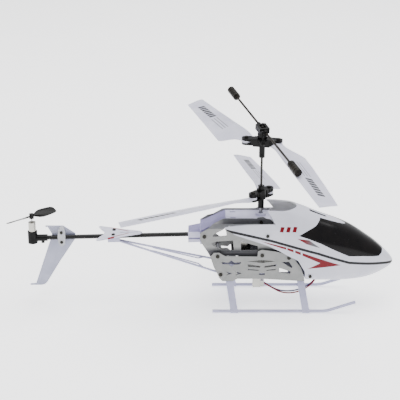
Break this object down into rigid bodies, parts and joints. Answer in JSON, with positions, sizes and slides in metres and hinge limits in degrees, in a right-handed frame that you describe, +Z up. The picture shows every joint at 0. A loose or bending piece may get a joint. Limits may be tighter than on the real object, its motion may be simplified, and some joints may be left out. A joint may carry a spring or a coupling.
{
  "type": "remote control helicopter",
  "caption": "Indoor toy helicopter: white canopy, coaxial folding-blade rotors with flybar, open sheet-metal frame, thin tail boom with fin and propeller, skids.",
  "frame": {"origin": "on the ground under the skid feet, halfway between the nose and the tail propeller, in the airframe's plane of symmetry", "axes": "+X to the nose, +Z up along the rotor mast, +Y to the left side"},
  "size_m": [0.3432, 0.2555, 0.1801],
  "materials": {
    "canopy_white": "glossy white shell",
    "screen_black": "glossy black",
    "frame_lilac": "satin, slightly translucent",
    "plate_grey": "satin sheet metal",
    "black_plastic": "moulded",
    "boom_black": "glossy carbon look tube",
    "steel": "polished",
    "screw_black": "black oxide",
    "brass": "turned",
    "blade_white": "satin",
    "gear_white": "nylon",
    "battery_wrap": "shrink wrap",
    "board_green": "solder mask",
    "connector_white": "nylon",
    "wire_red": "silicone sleeve",
    "wire_blue": "silicone sleeve"
  },
  "bodies": {
    "airframe": {"canopy_shell": "canopy_white", "windscreen": "screen_black", "top_frame": "frame_lilac", "base_frame": "frame_lilac", "motor_bracket": "black_plastic", "upper_side_plate_left": "plate_grey", "upper_side_plate_right": "plate_grey", "lower_side_plate_left": "plate_grey", "lower_side_plate_right": "plate_grey", "frame_posts": "steel", "frame_screws": "screw_black", "mast_bearings": "steel", "main_motors": "steel", "tail_boom": "boom_black", "horizontal_stabilizer": "frame_lilac", "stabilizer_clamp": "frame_lilac", "tail_screws": "screw_black", "tail_strut": "frame_lilac", "vertical_fin": "frame_lilac", "fin_clamp": "frame_lilac", "tail_motor_mount": "black_plastic", "tail_motor": "steel", "landing_leg_rear_left": "frame_lilac", "landing_leg_rear_right": "frame_lilac", "landing_leg_front_left": "frame_lilac", "landing_leg_front_right": "frame_lilac", "skid_tube_left": "frame_lilac", "skid_tube_right": "frame_lilac", "battery_pack": "battery_wrap", "circuit_board": "board_green", "power_switch_body": "black_plastic", "battery_socket": "connector_white", "battery_plug": "connector_white", "battery_wire_red": "wire_red", "battery_wire_blue": "wire_blue"},
    "outer_rotor": {"outer_shaft": "steel", "upper_main_gear": "gear_white", "outer_shaft_collar": "black_plastic", "lower_rotor_hub": "black_plastic", "lower_blade_bolts": "screw_black"},
    "inner_rotor": {"inner_shaft": "steel", "lower_main_gear": "gear_white", "mast_collars": "black_plastic", "mast_pivot_pins": "steel"},
    "blade_holder": {"upper_blade_holder": "black_plastic", "upper_blade_bolts": "screw_black"},
    "flybar": {"flybar_ring": "black_plastic", "flybar_rods": "steel", "flybar_weights": "black_plastic"},
    "link_near": {"flybar_link_near": "black_plastic"},
    "link_far": {"flybar_link_far": "black_plastic"},
    "blade_upper_near": {"upper_blade_near": "blade_white"},
    "blade_upper_far": {"upper_blade_far": "blade_white"},
    "blade_lower_near": {"lower_blade_near": "blade_white"},
    "blade_lower_far": {"lower_blade_far": "blade_white"},
    "rear_pinion": {"rear_drive_pinion": "brass"},
    "front_pinion": {"front_drive_pinion": "brass"},
    "tail_rotor": {"tail_motor_shaft": "steel", "tail_propeller": "black_plastic"},
    "switch_knob": {"power_switch_knob": "connector_white"}
  },
  "joints": [
    {"name": "outer_shaft_spin", "type": "hinge", "parent": "airframe", "child": "outer_rotor", "pos_m": [0.0538, 0, 0.0433], "axis": [0, 0, 1], "continuous": true},
    {"name": "inner_shaft_spin", "type": "hinge", "parent": "airframe", "child": "inner_rotor", "pos_m": [0.0538, 0, 0.0369], "axis": [0, 0, 1], "continuous": true},
    {"name": "rear_pinion_spin", "type": "hinge", "parent": "airframe", "child": "rear_pinion", "pos_m": [0.0376, 0, 0.0446], "axis": [0, 0, 1], "continuous": true},
    {"name": "front_pinion_spin", "type": "hinge", "parent": "airframe", "child": "front_pinion", "pos_m": [0.07, 0, 0.0382], "axis": [0, 0, 1], "continuous": true},
    {"name": "flybar_teeter", "type": "hinge", "parent": "inner_rotor", "child": "flybar", "pos_m": [0.0538, 0, 0.1643], "axis": [0.9478, 0.319, 0], "range_deg": [-13, 0]},
    {"name": "blade_holder_tilt", "type": "hinge", "parent": "inner_rotor", "child": "blade_holder", "pos_m": [0.0538, 0, 0.1523], "axis": [0.9781, -0.2079, 0], "range_deg": [-9, 0]},
    {"name": "link_near_pivot", "type": "hinge", "parent": "flybar", "child": "link_near", "pos_m": [0.05319, -0.00792, 0.16314], "axis": [0.9478, 0.319, 0], "range_deg": [0, 13]},
    {"name": "link_far_pivot", "type": "hinge", "parent": "flybar", "child": "link_far", "pos_m": [0.05441, 0.00792, 0.16546], "axis": [0.9478, 0.319, 0], "range_deg": [0, 13]},
    {"name": "upper_near_blade_fold", "type": "hinge", "parent": "blade_holder", "child": "blade_upper_near", "pos_m": [0.06749, -0.00291, 0.1523], "axis": [-0.0098, -0.0461, 0.9989], "range_deg": [0, 129]},
    {"name": "upper_far_blade_fold", "type": "hinge", "parent": "blade_holder", "child": "blade_upper_far", "pos_m": [0.04011, 0.00291, 0.1523], "axis": [-0.0098, -0.0461, 0.9989], "range_deg": [-6.5, 122.5]},
    {"name": "lower_near_blade_fold", "type": "hinge", "parent": "outer_rotor", "child": "blade_lower_near", "pos_m": [0.04637, -0.00743, 0.103], "axis": [0, 0, 1], "range_deg": [-43.5, 85.5]},
    {"name": "lower_far_blade_fold", "type": "hinge", "parent": "outer_rotor", "child": "blade_lower_far", "pos_m": [0.06123, 0.00743, 0.103], "axis": [0, 0, 1], "range_deg": [-120, 9]},
    {"name": "tail_propeller_spin", "type": "hinge", "parent": "airframe", "child": "tail_rotor", "pos_m": [-0.1496, 0, 0.0826], "axis": [0, 0, 1], "continuous": true},
    {"name": "power_switch_slide", "type": "slide", "parent": "airframe", "child": "switch_knob", "axis": [1, 0, 0], "range_m": [0, 0.0024]}
  ],
  "couplings": [
    {"joint": "rear_pinion_spin", "follows": "outer_shaft_spin", "ratio": -5},
    {"joint": "front_pinion_spin", "follows": "inner_shaft_spin", "ratio": -5},
    {"joint": "blade_holder_tilt", "follows": "flybar_teeter", "ratio": 0.6628},
    {"joint": "link_near_pivot", "follows": "flybar_teeter", "ratio": -1},
    {"joint": "link_far_pivot", "follows": "flybar_teeter", "ratio": -1}
  ]
}
